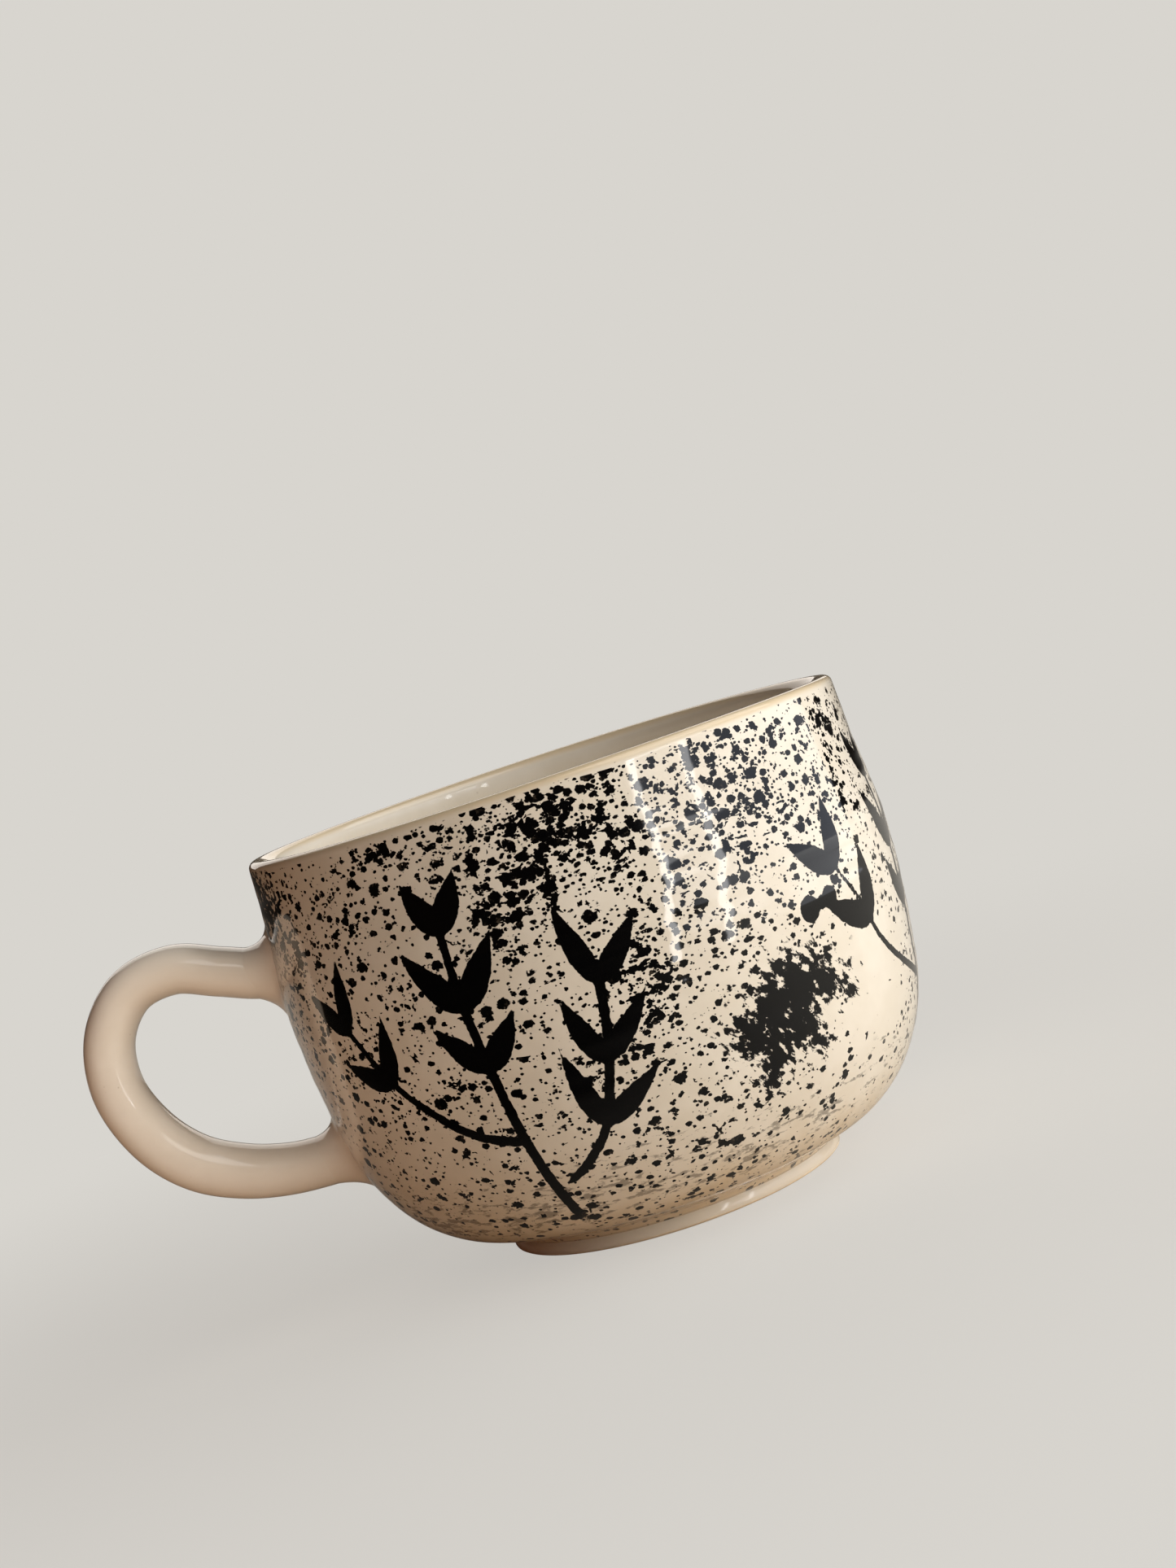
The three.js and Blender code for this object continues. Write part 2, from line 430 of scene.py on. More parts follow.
bareClay = {
    "clay": "#EBDEC8",
    "dark": "#D8C4A4",
    "roughness": 0.75,
    "glazedRoughness": 0.1,
    "gritSize": 0.45,
    "gritHeight": 0.07,
    "gritRange": (0.6, 0.75),
    "gritMost": 0.5,
    "cloudSize": 6.0,
    "cloudRange": (0.35, 0.7),
    "lineWander": 1.2,  # how unevenly the glaze was wiped off
}


def footClay():
    # the foot is glazed on its side and wiped bare where it stands: fired clay with a sandy tooth
    material, tree = newMaterial("bare_fired_stoneware")
    place = add(tree, "TexCoord", output="Object")
    glazed = add(tree, "Attribute", attribute_name="glazed", output="Fac")
    grit = add(tree, "TexNoise", {"Vector": place, "Scale": 1 / (bareClay["gritSize"] * mm), "Detail": 3})
    cloud = add(tree, "TexNoise", {"Vector": place, "Scale": 1 / (bareClay["cloudSize"] * mm), "Detail": 3})
    pale, deep = bareClay["cloudRange"]
    dark = add(tree, "MapRange", {0: cloud, 1: pale, 2: deep}, **smooth)
    clay = add(tree, "Mix", {0: dark, 6: linear(bareClay["clay"]), 7: linear(bareClay["dark"])}, **ofColour)
    few, many = bareClay["gritRange"]
    sand = add(tree, "MapRange", {0: grit, 1: few, 2: many, 4: bareClay["gritMost"]}, **smooth)
    clay = add(tree, "Mix", {0: sand, 6: clay, 7: linear(bareClay["dark"])}, **ofColour)
    centred = add(tree, "Math", {0: cloud, 1: 0.5}, operation="SUBTRACT")
    edge = add(tree, "Math", {0: centred, 1: bareClay["lineWander"], 2: glazed}, operation="MULTIPLY_ADD")
    cover = add(tree, "MapRange", {0: edge, 1: 0.4, 2: 0.6}, **smooth)
    colour = add(tree, "Mix", {0: cover, 6: clay, 7: linear(glaze["cream"])}, **ofColour)
    gloss = add(tree, "MapRange", {0: cover, 3: bareClay["roughness"], 4: bareClay["glazedRoughness"]})
    bare = add(tree, "Math", {0: 1.0, 1: cover}, operation="SUBTRACT")
    tooth = add(tree, "Math", {0: grit, 1: bare}, operation="MULTIPLY")
    bump = add(tree, "Bump", {"Height": tooth, "Strength": 1.0, "Distance": bareClay["gritHeight"] * mm})
    shader = add(tree, "BsdfPrincipled", {"Base Color": colour, "Roughness": gloss, "IOR": glaze["ior"],
                                          "Normal": bump})
    add(tree, "OutputMaterial", {"Surface": shader})
    return material


# the thrown cup

cup = {
    # half sections as [distance from the axis, height]
    "underside": [(0.6, 3.7), (12, 3.6), (23, 3.5), (28.7, 2.4)],
    "outside": [(28.7, 2.4), (30.2, 3.6), (33.6, 4.7), (38.4, 6.6), (43.9, 11.4), (49.2, 21), (51.9, 36),
                (52.8, 52), (51.7, 65), (51.25, 74.8)],
    "inside": [(47.65, 74.4), (48.2, 65), (49.3, 52), (48.3, 36), (45.1, 22.5), (38.4, 13.4), (26, 8.8),
               (0.6, 8)],
    "lipOuter": 1.2,
    "lipInner": 1.6,
    "lipWidth": 3.6,
    "columns": 576,
    "rows": {"underside": 10, "outside": 122, "corner": 6, "inside": 24},
    "throwingRing": 8.7,
    "ringDepth": 0.035,
    "insideRings": 1.8,  # times as deep inside, where the fingers pressed
    "finerRing": 0.41,
    "calmLip": 10,
    "outOfRound": 0.16,
    "steadyFoot": (8, 20),  # all unevenness starts at this height and is full this much higher
    "lipWaves": (0.14, 0.08),
    "lipDrop": 0.15,  # keeps the waves close to the mug's height
}


def quarterTurn(centre, radius, start, count):
    # a quarter of a circle: the centre plus the radius times the angle's cosine and sine
    turn = np.radians(np.linspace(start, start + 90, count))
    return np.stack([centre[0] + radius * np.cos(turn), centre[1] + radius * np.sin(turn)], -1)


def cupOutline():
    # the half section: out under the cup, up the wall, over the lip in two quarter circles and down inside
    rows = cup["rows"]
    outer = cup["outside"][-1][0]
    under = smoothCurve(cup["underside"], rows["underside"])[:-1]
    outside = smoothCurve(cup["outside"], rows["outside"])
    outerCentre = (outer - cup["lipOuter"], mugHeight - cup["lipOuter"])
    innerCentre = (outer - cup["lipWidth"] + cup["lipInner"], mugHeight - cup["lipInner"])
    lip = np.concatenate([quarterTurn(outerCentre, cup["lipOuter"], 0, rows["corner"])[1:],
                          quarterTurn(innerCentre, cup["lipInner"], 90, rows["corner"])])
    inside = smoothCurve(cup["inside"], rows["inside"])[1:]
    return np.concatenate([under, outside, lip, inside]), outside


def wallRadius(height):
    # the outside wall's distance from the axis at that height, straight between points of the section
    return np.interp(height, cupWall[:, 1], cupWall[:, 0])


def wallPoint(azimuth, height):
    # a point of the outside wall: azimuth 0 faces the camera's side and 90 is to the right of it
    turn = np.radians(azimuth)
    radius = wallRadius(height)
    return np.stack([axisX + radius * np.sin(turn), -radius * np.cos(turn), height + 0 * turn], -1)


# the painting: its places are [azimuth, height], as wallPoint takes them. A branch is a stem with pairs
# of leaves, a pair is where it grows, its two tips and its half width, thick is the stem's half width at
# its two ends, and fade is the height where the brush is fully loaded

branches = {
    "tall": {
        "stem": [(-18.6, 4.9), (-20.4, 8), (-21.2, 14), (-22.3, 23), (-23.5, 34), (-24.3, 46), (-24.5, 59)],
        "thick": (0.95, 0.7),
        "fade": 13,
        "pairs": [((-23.8, 37), (-31.8, 45.8), (-15.9, 45.4), 2.0),
                  ((-24.3, 46.8), (-33.6, 58.2), (-15.6, 57.8), 2.2),
                  ((-24.5, 59), (-29.8, 67.8), (-19, 67.8), 2.1)],
    },
    "left": {
        "stem": [(-22.4, 24.5), (-31, 27.4), (-39, 33), (-44.5, 38.5), (-50.5, 47.5)],
        "thick": (0.85, 0.6),
        "fade": 0,
        "pairs": [((-44.5, 37.8), (-55.7, 42.6), (-41.1, 49.4), 1.9),
                  ((-50.5, 47.3), (-59.8, 54.8), (-48.4, 59.6), 1.9)],
    },
    "right": {
        "stem": [(-19, 16.2), (-14, 18.6), (-8.6, 23.2), (-5.6, 29), (-3, 37), (-1.5, 45)],
        "thick": (0.7, 0.8),
        "fade": 17,
        "pairs": [((-8, 24), (-11.3, 37.6), (4.5, 31.3), 1.75),
                  ((-4.6, 33.4), (-8.8, 45.4), (5.8, 42.6), 1.75),
                  ((-1.6, 45), (-5.4, 59), (7.6, 54), 1.8)],
    },
    "bent": {
        "stem": [(-22.4, 24.5), (-35, 30), (-42, 35), (-45.6, 41), (-51, 48.5)],
        "thick": (0.8, 0.38),
        "fade": 0,
        "pairs": [((-44, 38.4), (-57, 44.2), (-41.8, 51), 2.2),
                  ((-51, 48.3), (-61.5, 55.2), (-48, 60), 2.1)],
    },
}
sprays = [  # how far round the wall each spray is turned, and its branches
    (0, ["tall", "left", "right"]),
    (98, ["tall", "bent", "right"]),
    (190, ["tall", "bent", "right"]),
    (240, ["right"]),
]
brush = {
    "leafBulge": 0.025,  # how far a leaf bows outwards, as a share of its length
    "leafSwell": 0.62,
    "leafPoint": 1.15,
    "leafTouches": 48,
    "stemTouches": 220,
    "stemStart": (0.4, 10),  # a stem starts this thin, and grows at this rate to its full width
    "dryFrom": 4,  # height where a faded stem has no load at all
    "reach": 4.5,  # the distance to a stroke is worked out this far round it
    "farOff": 4.0,  # stands for no stroke near
}
blots = [  # azimuth, height and radius of what the sponge pressed into one torn mark
    (21.5, 29.5, 3.4), (26, 32.5, 4.2), (32, 34, 4.2), (37.5, 33, 3.0), (30, 28.5, 3.8), (24, 26, 3.0),
    (28, 36.5, 2.0), (43, 31, 1.0), (22, 22, 1.2), (34, 25, 1.0),
    (136, 30, 3.4), (142, 33, 3.8), (147, 29, 2.4), (232, 24, 3.0), (238, 21, 2.2),
]
blotSpread = 0.5
farFromBlots = 20.0  # stands for no blot near
dabs = [(38.2, 44, 2.1), (41.2, 44.2, 1.1), (43.6, 44.6, 1.7)]  # azimuth, height and radius of brush dabs
dense = [  # azimuth, height, spread round and up, and how much denser the spatter is there
    (-3, 69, 10, 6, 0.75), (-12, 60, 7, 5, 0.35), (-32, 73, 5, 2.5, 0.5), (-47, 64, 5, 3, 0.35),
    (-15, 54, 4, 4, 0.35), (6, 46, 4, 5, 0.65), (2, 38, 5, 5, 0.4), (18, 53, 6, 8, 0.25),
    (-4, 30, 8, 4, 0.2), (29, 64, 6, 5, 0.4), (38, 62, 6, 5, 0.3), (36, 72, 8, 3, 0.35),
    (17, 68, 5, 5, 0.15), (-28, 34, 3, 1.5, 0.25), (57, 61, 8, 5, 0.35), (64, 71, 9, 3, 0.5),
    (-76, 69, 11, 7, 0.95), (-62, 57, 5, 5, 0.2), (-36, 55, 6, 8, 0.15), (52, 33, 8, 8, -0.45),
    (44, 20, 9, 6, -0.1), (102, 67, 10, 6, 0.5), (124, 54, 8, 7, 0.3), (152, 69, 9, 5, 0.6),
    (166, 45, 8, 7, 0.35), (200, 68, 10, 6, 0.7), (214, 50, 7, 7, 0.35), (240, 60, 9, 8, 0.3),
]
spatterSet = {
    "base": 0.30,
    "waves": (0.06, 3, 9),  # how much it swings, how often round the wall, and how it leans with height
    "belly": (0.05, 32, 14),  # how much less there is low down, from which height and over how much
    "foot": (0.08, 16, 6),
    "clean": (74.6, 2),  # the lip stays clean: from which height, and how fast
}
smearSet = {
    "low": (1.0, 12, 6),  # strength, height and spread of each band
    "high": (0.3, 19, 3),
    "turned": (0.75, 0.25, 50),  # stronger on one side of the wall
    "less": 0.1,
}


def leafTouches(base, tip, width):
    # touches along a leaf: its middle line bows away from the stem, and its half width swells quickly
    # from the base and runs out to a point, as the sine of half a turn of the length raised to a power
    degree = math.radians(1) * wallRadius((base[1] + tip[1]) / 2)
    across = np.array([(tip[0] - base[0]) * degree, tip[1] - base[1]])
    side = np.array([across[1], -across[0]]) * np.sign(across[0]) * brush["leafBulge"]
    t = np.linspace(0, 1, brush["leafTouches"])[:, None]
    line = across * t + side * 4 * t * (1 - t)
    halfWidth = width * np.sin(np.pi * t[:, 0] ** brush["leafSwell"]) ** brush["leafPoint"]
    return np.stack([base[0] + line[:, 0] / degree, base[1] + line[:, 1]], -1), halfWidth


def stemTouches(branch):
    # touches along a stem: its half width runs evenly from one end to the other after a thin start, and
    # its load rises with height where the brush came on dry
    line = smoothCurve(branch["stem"], brush["stemTouches"])
    halfWidth = np.linspace(branch["thick"][0], branch["thick"][1], len(line))
    thinStart, growth = brush["stemStart"]
    halfWidth = halfWidth * np.clip(np.linspace(thinStart, growth, len(line)), 0, 1)
    load = np.ones(len(line))
    if branch["fade"]:
        wetOver = max(branch["fade"] - brush["dryFrom"], 0.1)
        load = np.clip((line[:, 1] - brush["dryFrom"]) / wetOver, 0, 1)
    return line, halfWidth, load


def brushOn(canvas, places, halfWidth, load):
    # the distance from every wall point to the nearest touch of the brush, less that touch's half width
    azimuth, height, field, loads = canvas
    reach = brush["reach"]
    low = places.min(0) - (math.degrees(reach / footRadius), reach)
    high = places.max(0) + (math.degrees(reach / footRadius), reach)
    onward = (azimuth - low[0]) % 360
    near = (onward < high[0] - low[0]) & (height > low[1]) & (height < high[1])
    at = wallPoint(azimuth[near], height[near])
    touch = wallPoint(places[:, 0], places[:, 1])
    away = np.linalg.norm(at[:, None] - touch[None], axis=2) - halfWidth[None]
    best = away.argmin(1)
    value = away[np.arange(len(best)), best]
    closer = value < field[near]
    field[near] = np.where(closer, value, field[near])
    loads[near] = np.where(closer, load[best], loads[near])


def roundFrom(azimuth, place):
    # degrees from a place the short way round the wall, from -180 to 180
    return (azimuth - place + 180) % 360 - 180


def spatterField(azimuth, height):
    # an even base with a slow swing, thinner towards the foot, plus one bell for each dense place, and
    # cut off at the lip
    swing, waves, lean = spatterSet["waves"]
    spatter = spatterSet["base"] + swing * np.sin(np.radians(waves * azimuth) + height / lean)
    for less, start, over in (spatterSet["belly"], spatterSet["foot"]):
        spatter = spatter - less * np.clip((start - height) / over, 0, 1)
    for place in dense:
        away = roundFrom(azimuth, place[0]) / place[2]
        spatter = spatter + place[4] * np.exp(-(away ** 2 + ((height - place[1]) / place[3]) ** 2) / 2)
    edge, slope = spatterSet["clean"]
    return np.where(height > edge, spatter - (height - edge) * slope, spatter)


def smearField(azimuth, height):
    # two bell-shaped bands round the belly, stronger on one side
    bands = [strength * np.exp(-((height - middle) / spread) ** 2)
             for strength, middle, spread in (smearSet["low"], smearSet["high"])]
    even, swing, turn = smearSet["turned"]
    return (bands[0] + bands[1]) * (even + swing * np.cos(np.radians(azimuth + turn))) - smearSet["less"]


def paintFields(azimuth, height, onWall, inside):
    # what the painted glaze reads at each point: distances to brush strokes and torn blots in
    # millimetres, the brush's load, how dense the spatter and the wheel-drawn smears are, and the inside
    brushed = np.full(azimuth.shape, brush["farOff"])
    load = np.ones(azimuth.shape)
    canvas = (azimuth, height, brushed, load)
    for turn, names in sprays:
        for branch in (branches[name] for name in names):
            line, halfWidth, strokeLoad = stemTouches(branch)
            brushOn(canvas, line + (turn, 0), halfWidth, strokeLoad)
            for base, left, right, width in branch["pairs"]:
                for tip in (left, right):
                    places, halfWidth = leafTouches(base, tip, width)
                    brushOn(canvas, places + (turn, 0), halfWidth, np.ones(len(places)))
    for dab in dabs:
        brushOn(canvas, np.array([dab[:2]]), np.array([dab[2]]), np.ones(1))
    torn = np.full(azimuth.shape, farFromBlots)
    for place in blots:
        apart = np.hypot(roundFrom(azimuth, place[0]) * math.radians(1) * wallRadius(height),
                         height - place[1])
        torn = np.minimum(torn, apart - place[2] - blotSpread)
    return {
        "brushed": np.where(onWall, brushed, brush["farOff"]),
        "load": load,
        "torn": np.where(onWall, torn, farFromBlots),
        "spatter": np.where(onWall, spatterField(azimuth, height), -1.0),
        "smear": np.where(onWall, smearField(azimuth, height), -1.0),
        "inner": inside.astype(float),
    }


def throwCup(material):
    # the section turned about the axis; the wall keeps faint throwing rings, sines of the height and the
    # turn, is a little out of round, and the lip rises and falls by a fraction of a millimetre
    count = len(cupSection)
    azimuth = -90 + 360 * np.arange(cup["columns"]) / cup["columns"]
    azimuth, radius = np.meshgrid(azimuth, cupSection[:, 0])
    height = np.repeat(cupSection[:, 1][:, None], cup["columns"], axis=1)
    row = np.repeat(np.arange(count)[:, None], cup["columns"], axis=1)
    turn = np.radians(azimuth)
    firstWall = cup["rows"]["underside"] - 1
    onWall = (row >= firstWall) & (row < firstWall + cup["rows"]["outside"])
    inside = row > firstWall + cup["rows"]["outside"] + 2 * cup["rows"]["corner"] - 2
    start, over = cup["steadyFoot"]
    rising = np.clip((height - start) / over, 0, 1)
    ring = np.sin(2 * np.pi * height / cup["throwingRing"] + turn)
    ring = ring + 0.5 * np.sin(2 * np.pi * height / (cup["throwingRing"] * cup["finerRing"]) - 2 * turn)
    calm = np.clip((mugHeight - height) / cup["calmLip"], 0, 1)
    depth = np.where(inside, cup["insideRings"], 1.0) * cup["ringDepth"] * calm
    wobble = cup["outOfRound"] * np.cos(2 * turn + 0.8) * rising
    shaped = radius + ring * depth * rising + wobble
    broad, fine = cup["lipWaves"]
    wave = broad * np.sin(2 * turn + 1) + fine * np.sin(3 * turn)
    lift = wave * np.clip(height / mugHeight, 0, 1) ** 4 - cup["lipDrop"] * rising
    rings = np.stack([axisX + shaped * np.sin(turn), -shaped * np.cos(turn), height + lift], -1)
    along = np.concatenate([[0], np.cumsum(np.linalg.norm(np.diff(cupSection, axis=0), axis=1))])
    fields = paintFields(azimuth, height, onWall, inside)
    makePiece("thrown_cup", rings, material, "cup_body", fields=fields,
              uvSize=(2 * math.pi * bellyRadius, along[-1]))


cupSection, cupWall = cupOutline()
throwCup(paintedGlaze())
print("cup thrown and painted")


# the turned foot

foot = {
    "columns": 288,
    "rows": 48,
    "width": 5.2,
    "top": 4.4,
    "taper": 0.9,
    "squareness": 5.0,
    "wear": 0.05,
    "wearAbove": 0.3,
    "glazeLine": (0.1, 0.8),  # height where the glaze starts, and over how much it comes in
}


def turnFoot(material):
    # a squared oval turned about the axis: flat where it stands, rounded at its edges, and drawn in
    # towards the top, where it is sunk in the cup's underside
    angle = np.linspace(0, 2 * np.pi, foot["rows"], endpoint=False)
    cosine, sine = np.cos(angle), np.sin(angle)
    power = 2 / foot["squareness"]
    across = np.sign(cosine) * np.abs(cosine) ** power
    up = np.sign(sine) * np.abs(sine) ** power
    height = foot["top"] / 2 * (1 + up)
    drawnIn = foot["taper"] * (height / footTop) ** 2 * (across > 0)
    radius = footRadius - foot["width"] / 2 * (1 - across) - drawnIn
    azimuth = np.radians(-90 + 360 * np.arange(foot["columns"]) / foot["columns"])
    turn, radius = np.meshgrid(azimuth, radius)
    level = np.repeat(height[:, None], foot["columns"], axis=1)
    wear = foot["wear"] * np.sin(5 * turn + 1) * (level > foot["wearAbove"])
    rings = np.stack([axisX + (radius + wear) * np.sin(turn), -(radius + wear) * np.cos(turn), level], -1)
    start, over = foot["glazeLine"]
    glazed = np.clip((level - start) / over, 0, 1) * (radius > footRadius - foot["width"] / 2)
    makePiece("turned_foot", rings, material, "foot_ring", joined=True,
              fields={"glazed": glazed})


turnFoot(footClay())
print("foot turned")


# the pulled handle and the clay worked round its roots

handle = {
    # middle line as [distance from the mug's axis towards the left, height]
    "line": [(47.5, 56.6), (55, 57.4), (61.5, 59.8), (69, 62.6), (76.8, 61.4), (82.5, 55.2), (84.1, 46.4),
             (81.0, 37), (75.5, 30.4), (68.5, 26.5), (61, 24.4), (54, 23.8), (47, 24)],
    "rings": 200,
    "columns": 72,
    "thickness": [(0, 9.0), (0.12, 8.3), (0.4, 8.3), (0.62, 9.4), (0.74, 9.2), (0.9, 8.2), (1, 8.8)],
    "width": [(0, 13.0), (0.15, 12.2), (0.5, 11.6), (0.85, 12.2), (1, 13.2)],
    "evenOver": 21,  # rings over which a change of thickness is made even
    "squareness": 2.25,
    "ridges": 5,
    "pull": 0.07,
}
roots = {
    # reach is how far a root runs along the handle; up, down and side are how far it spreads on the wall
    "upper_handle_root": {"node": "upper_handle_joint", "atWall": "first", "reach": 6.5,
                          "up": 5.6, "down": 5.4, "side": 4.0},
    "lower_handle_root": {"node": "lower_handle_joint", "atWall": "last", "reach": 6.5,
                          "up": 4.9, "down": 4.6, "side": 4.0},
}
rootFit = {
    "startInside": 0.965,  # the first ring, as a share of the handle's own
    "offWall": 0.05,
    "sunkEdge": 0.14,
    "sunkEnd": 0.8,
    "rings": 40,
}


def handleRings():
    # an oval carried along the middle line; its thickness and width change along the pull, and the wet
    # hand leaves faint lengthwise ridges
    line = smoothCurve([(axisX - x, z) for x, z in handle["line"]], handle["rings"])
    along = np.linspace(0, 1, handle["rings"])
    tangent = np.gradient(line, axis=0)
    tangent /= np.linalg.norm(tangent, axis=1)[:, None]
    normal = np.stack([-tangent[:, 1], tangent[:, 0]], -1)
    thick = np.interp(along, *np.array(handle["thickness"]).T) / 2
    wide = np.interp(along, *np.array(handle["width"]).T) / 2
    kernel = np.ones(handle["evenOver"]) / handle["evenOver"]
    spare = handle["evenOver"] // 2
    thick = np.convolve(np.pad(thick, spare, mode="edge"), kernel, mode="valid")
    wide = np.convolve(np.pad(wide, spare, mode="edge"), kernel, mode="valid")
    angle = 2 * np.pi * np.arange(handle["columns"]) / handle["columns"]
    power = 2 / handle["squareness"]
    out = np.sign(np.cos(angle)) * np.abs(np.cos(angle)) ** power
    side = np.sign(np.sin(angle)) * np.abs(np.sin(angle)) ** power
    comeAndGo = 0.6 + 0.4 * np.sin(9 * along)
    ridge = handle["pull"] * np.cos(handle["ridges"] * angle + 0.6)[None] * comeAndGo[:, None]
    offset = (thick[:, None] + ridge) * out[None]
    x = line[:, :1] + normal[:, :1] * offset
    z = line[:, 1:] + normal[:, 1:] * offset
    y = (wide[:, None] + ridge) * side[None]
    return np.stack([x, y + 0 * x, z], -1)


def onWallAt(y, z, depth):
    # the point of the wall's left side at that y and height, sunk by depth
    radius = wallRadius(z) - depth
    return np.stack([axisX - np.sqrt(radius ** 2 - y ** 2), y, z], -1)


def workRoot(name, root, rings, material):
    # a fillet: from a ring on the handle, along the handle to the wall and then away over the wall, as
    # one curve with its middle point where the handle would meet the wall, so it leaves both smoothly
    if root["atWall"] == "last":
        rings = rings[::-1]
    middle = rings.mean(1)
    outsideWall = axisX - middle[:, 0] > wallRadius(middle[:, 2])
    meet = int(np.argmax(outsideWall))
    step = np.linalg.norm(np.diff(middle, axis=0), axis=1).mean()
    start = meet + int(round(root["reach"] / step))
    ringA = middle[start] + (rings[start] - middle[start]) * rootFit["startInside"]
    flat = rings[meet]
    ringB = onWallAt(flat[:, 1], flat[:, 2], -rootFit["offWall"])
    away = flat[:, 1:] - middle[meet, 1:]
    away /= np.linalg.norm(away, axis=1)[:, None]
    upward = np.clip(away[:, 1], 0, 1) ** 2
    downward = np.clip(-away[:, 1], 0, 1) ** 2
    spread = root["side"] * away[:, 0] ** 2 + root["up"] * upward + root["down"] * downward
    outward = flat[:, 1:] + spread[:, None] * away
    ringC = onWallAt(outward[:, 0], outward[:, 1], rootFit["sunkEdge"])
    ringD = onWallAt(ringC[:, 1], ringC[:, 2], rootFit["sunkEnd"])
    t = np.linspace(0, 1, rootFit["rings"])[:, None, None]
    sweep = (1 - t) ** 2 * ringA + 2 * t * (1 - t) * ringB + t ** 2 * ringC
    whole = np.concatenate([sweep, [ringD]])
    makePiece(name, whole, material, root["node"])


plain = plainGlaze()
rings = handleRings()
makePiece("pulled_handle", rings, plain, "handle")
for name, root in roots.items():
    workRoot(name, root, rings, plain)
print("handle pulled and joined")


# studio: a pale floor that fades into an even backdrop, and soft light from the right. The floor is one
# colour to the eye, another in the light that it throws up, and another as mirrored in the glaze

studio = {
    "backdrop": "#D8D5CF",
    "floor": "#F6F5F3",
    "bounceDark": "#E6C29A",
    "bouncePale": "#F6EFE2",
    "mirrorDark": "#2B2823",
    "mirrorPale": "#D8D6D0",
    "lit": (-50.0, 130.0),  # from left to right
    "far": (-120.0, 60.0),
    "farWay": (0.7, 0.7, 0),  # towards the back and the right
    "evenLeast": 0.75,
    "fade": (70.0, 300.0),  # distance from the mug over which the floor turns into the backdrop
    "reach": 6000.0,
    "aim": 0.7,  # the lamps point at this share of the mug's height
    "ambient": "#1F1710",
}
lamps = [
    # azimuth and elevation as seen from the mug, distance from it, size, radiance, colour and lean; a matt
    # lamp only lights the clay, and a gloss lamp only shows on the glaze: the panes and bright frame of a
    # window and the sky over it
    {"name": "window", "azimuth": 85, "elevation": 20, "distance": 900, "width": 1500, "height": 850,
     "radiance": 2.6, "colour": "#FFFDFA", "lean": 0, "only": "matt"},
    {"name": "front", "azimuth": 30, "elevation": 14, "distance": 500, "width": 460, "height": 300,
     "radiance": 2.45, "colour": "#FFFBF2", "lean": 0, "only": "matt"},
    {"name": "top", "azimuth": 25, "elevation": 62, "distance": 900, "width": 700, "height": 700,
     "radiance": 0.3, "colour": "#FFF6EA", "lean": 0},
    {"name": "warm_card", "azimuth": -70, "elevation": 8, "distance": 320, "width": 260, "height": 100,
     "radiance": 0.6, "colour": "#C4582F", "lean": 0, "only": "matt"},
    {"name": "back", "azimuth": 188, "elevation": 25, "distance": 1000, "width": 900, "height": 700,
     "radiance": 1.2, "colour": "#FFF6EC", "lean": 0},
    {"name": "sky", "azimuth": 66, "elevation": 48, "distance": 900, "width": 1300, "height": 700,
     "radiance": 2.0, "colour": "#FFFFFF", "lean": 0, "only": "gloss"},
    {"name": "left_frame", "azimuth": 25, "elevation": -2, "distance": 200, "width": 10, "height": 88,
     "radiance": 8, "colour": "#FFFFFF", "lean": -16, "only": "gloss"},
    {"name": "right_frame", "azimuth": 43.5, "elevation": -2, "distance": 200, "width": 11, "height": 90,
     "radiance": 6, "colour": "#FFFFFF", "lean": -16, "only": "gloss"},
    {"name": "top_frame", "azimuth": 55, "elevation": 9, "distance": 420, "width": 380, "height": 16,
     "radiance": 3, "colour": "#FFFFFF", "lean": 4, "only": "gloss"},
    {"name": "panes", "azimuth": 70, "elevation": 0, "distance": 300, "width": 520, "height": 105,
     "radiance": 1.0, "colour": "#E9F0FF", "lean": 0, "only": "gloss"},
]


def hangLamp(lamp):
    data = bpy.data.lights.new(lamp["name"], "AREA")
    data.shape = "RECTANGLE"
    data.size = lamp["width"] * mm
    data.size_y = lamp["height"] * mm
    data.energy = lamp["radiance"] * math.pi * data.size * data.size_y
    data.color = linear(lamp["colour"])[:3]
    thing = bpy.data.objects.new(lamp["name"], data)
    a, e = math.radians(lamp["azimuth"]), math.radians(lamp["elevation"])
    away = Vector((math.sin(a) * math.cos(e), -math.cos(a) * math.cos(e), math.sin(e)))
    aim = Vector((axisX, 0, mugHeight * studio["aim"])) * mm
    face = away.to_track_quat("Z", "Y").to_matrix().to_4x4()
    lean = Matrix.Rotation(math.radians(lamp["lean"]), 4, "Z")
    thing.matrix_world = Matrix.Translation(aim + away * lamp["distance"] * mm) @ face @ lean
    thing.visible_camera = False
    thing.visible_diffuse = lamp.get("only") != "gloss"
    thing.visible_glossy = lamp.get("only") != "matt"
    bpy.context.scene.collection.objects.link(thing)


snoot = {
    # a soft narrow spot from the front that lifts the handle out of the cup's shade
    "place": (-20, -400, -22),  # from the middle of the handle
    "cone": 10.5,
    "power": 2.5,
    "softness": 30,
    "colour": "#FFEEDD",
}


def hangSnoot():
    data = bpy.data.lights.new("snoot", "SPOT")
    data.energy = snoot["power"]
    data.spot_size = math.radians(snoot["cone"])
    data.spot_blend = 1.0
    data.shadow_soft_size = snoot["softness"] * mm
    data.color = linear(snoot["colour"])[:3]
    thing = bpy.data.objects.new("snoot", data)
    low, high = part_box("handle")
    middle = (low + high) / 2
    away = Vector(snoot["place"]) * mm
    face = away.to_track_quat("Z", "Y").to_matrix().to_4x4()
    thing.matrix_world = Matrix.Translation(middle + away) @ face
    thing.visible_glossy = False
    bpy.context.scene.collection.objects.link(thing)


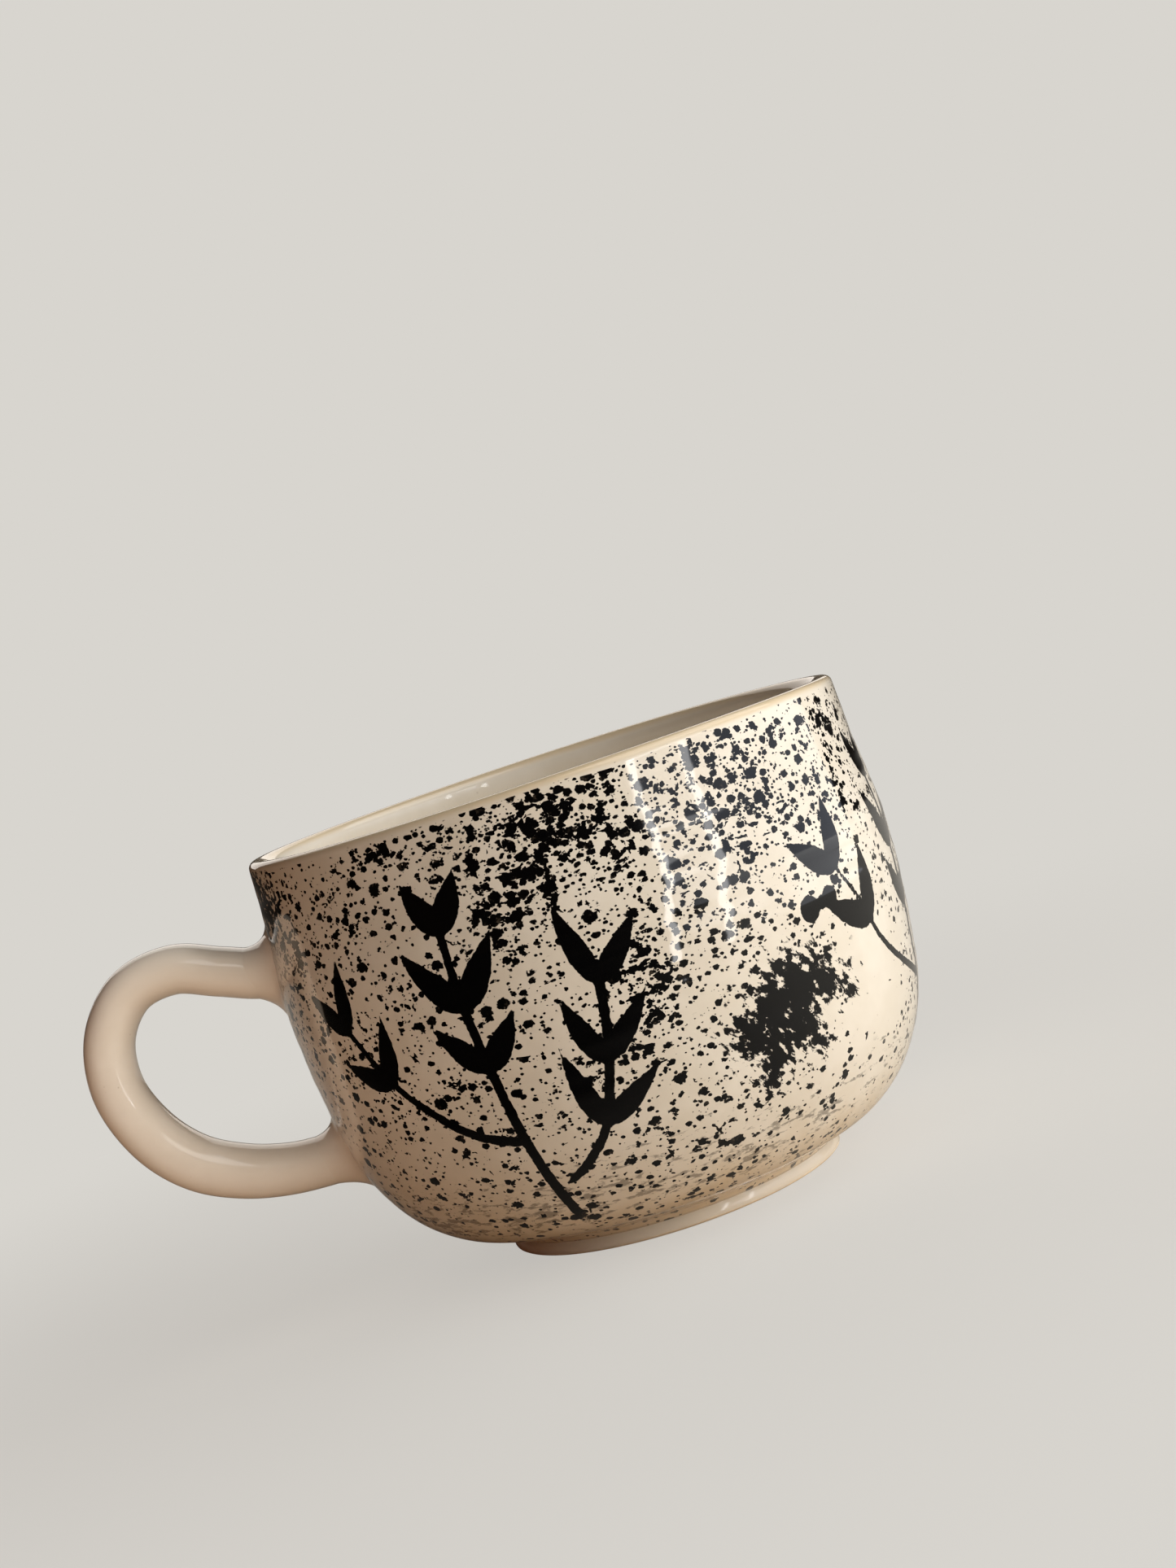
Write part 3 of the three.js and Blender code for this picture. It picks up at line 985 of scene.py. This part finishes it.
def layFloor():
    # matt pale card near the mug that turns into the backdrop's even colour further out; it lights the mug
    # from below, warmer on the left, and its mirror image is dark at the front left
    mesh = bpy.data.meshes.new("floor")
    reach = studio["reach"] * mm
    corners = [(-reach, -reach, 0), (reach, -reach, 0), (reach, reach, 0), (-reach, reach, 0)]
    mesh.from_pydata(corners, [], [(0, 1, 2, 3)])
    floor = bpy.data.objects.new("floor", mesh)
    bpy.context.scene.collection.objects.link(floor)
    material, tree = newMaterial("matt_pale_card")
    place = add(tree, "TexCoord", output="Object")
    distance = add(tree, "VectorMath", {0: place}, operation="LENGTH", output=1)
    near, gone = studio["fade"]
    away = add(tree, "MapRange", {0: distance, 1: near * mm, 2: gone * mm, 3: studio["evenLeast"]},
               **smooth)
    card = add(tree, "BsdfDiffuse", {"Color": linear(studio["floor"])})
    right = add(tree, "SeparateXYZ", {0: place})
    start, end = studio["lit"]
    lit = add(tree, "MapRange", {0: right, 1: start * mm, 2: end * mm}, **smooth)
    across = add(tree, "VectorMath", {0: place, 1: studio["farWay"]}, operation="DOT_PRODUCT", output=1)
    start, end = studio["far"]
    far = add(tree, "MapRange", {0: across, 1: start * mm, 2: end * mm}, **smooth)
    mirror = add(tree, "Mix", {0: far, 6: linear(studio["mirrorDark"]), 7: linear(studio["mirrorPale"])},
                 **ofColour)
    dim = add(tree, "BsdfDiffuse", {"Color": mirror})
    warm = add(tree, "Mix", {0: lit, 6: linear(studio["bounceDark"]), 7: linear(studio["bouncePale"])},
               **ofColour)
    bounce = add(tree, "BsdfDiffuse", {"Color": warm})
    even = add(tree, "Emission", {"Color": linear(studio["backdrop"])})
    seen = add(tree, "LightPath", output="Is Camera Ray")
    surface = add(tree, "MixShader", {0: away, 1: card, 2: even})
    unseen = add(tree, "MixShader", {0: seen.node.outputs["Is Glossy Ray"], 1: bounce, 2: dim})
    surface = add(tree, "MixShader", {0: seen, 1: unseen, 2: surface})
    add(tree, "OutputMaterial", {"Surface": surface})
    mesh.materials.append(material)


def setWorld():
    # the backdrop to the eye, and a dim warm room to everything else
    world = bpy.data.worlds.new("studio")
    world.use_nodes = True
    tree = world.node_tree
    tree.nodes.clear()
    seen = add(tree, "LightPath", output="Is Camera Ray")
    room = add(tree, "Background", {"Color": linear(studio["ambient"])})
    backdrop = add(tree, "Background", {"Color": linear(studio["backdrop"])})
    mixed = add(tree, "MixShader", {0: seen, 1: room, 2: backdrop})
    add(tree, "OutputWorld", {"Surface": mixed})
    bpy.context.scene.world = world
    bpy.context.scene.view_settings.view_transform = "Standard"


layFloor()
setWorld()
for lamp in lamps:
    hangLamp(lamp)
hangSnoot()
print("studio lit")
